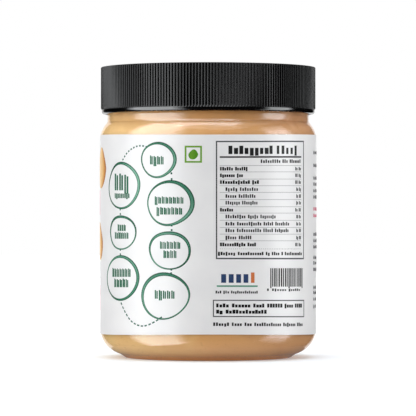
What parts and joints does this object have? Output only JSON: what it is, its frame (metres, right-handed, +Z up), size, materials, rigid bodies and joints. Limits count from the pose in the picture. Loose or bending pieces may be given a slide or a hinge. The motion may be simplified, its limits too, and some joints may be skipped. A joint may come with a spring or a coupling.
{
  "type": "almond butter jar",
  "caption": "Clear wide-mouth jar filled with almond butter, with a white wrap label and a black screw lid ribbed for grip.",
  "frame": {"origin": "on the floor, under the middle of the foot ring that the jar stands on", "axes": "+Z up along the jar's axis; the label's printed back panel faces -Y, with +X to its right"},
  "size_m": [0.076, 0.076, 0.1016],
  "materials": {
    "clear_pet": "clear, glossy, moulded",
    "almond_butter": "smooth, slightly oily",
    "label_paper": "coated, satin",
    "black_lid": "moulded, semi-gloss"
  },
  "bodies": {
    "root": {"jar": "clear_pet", "almond_butter": "almond_butter", "label": "label_paper", "lid": "black_lid"}
  },
  "joints": []
}
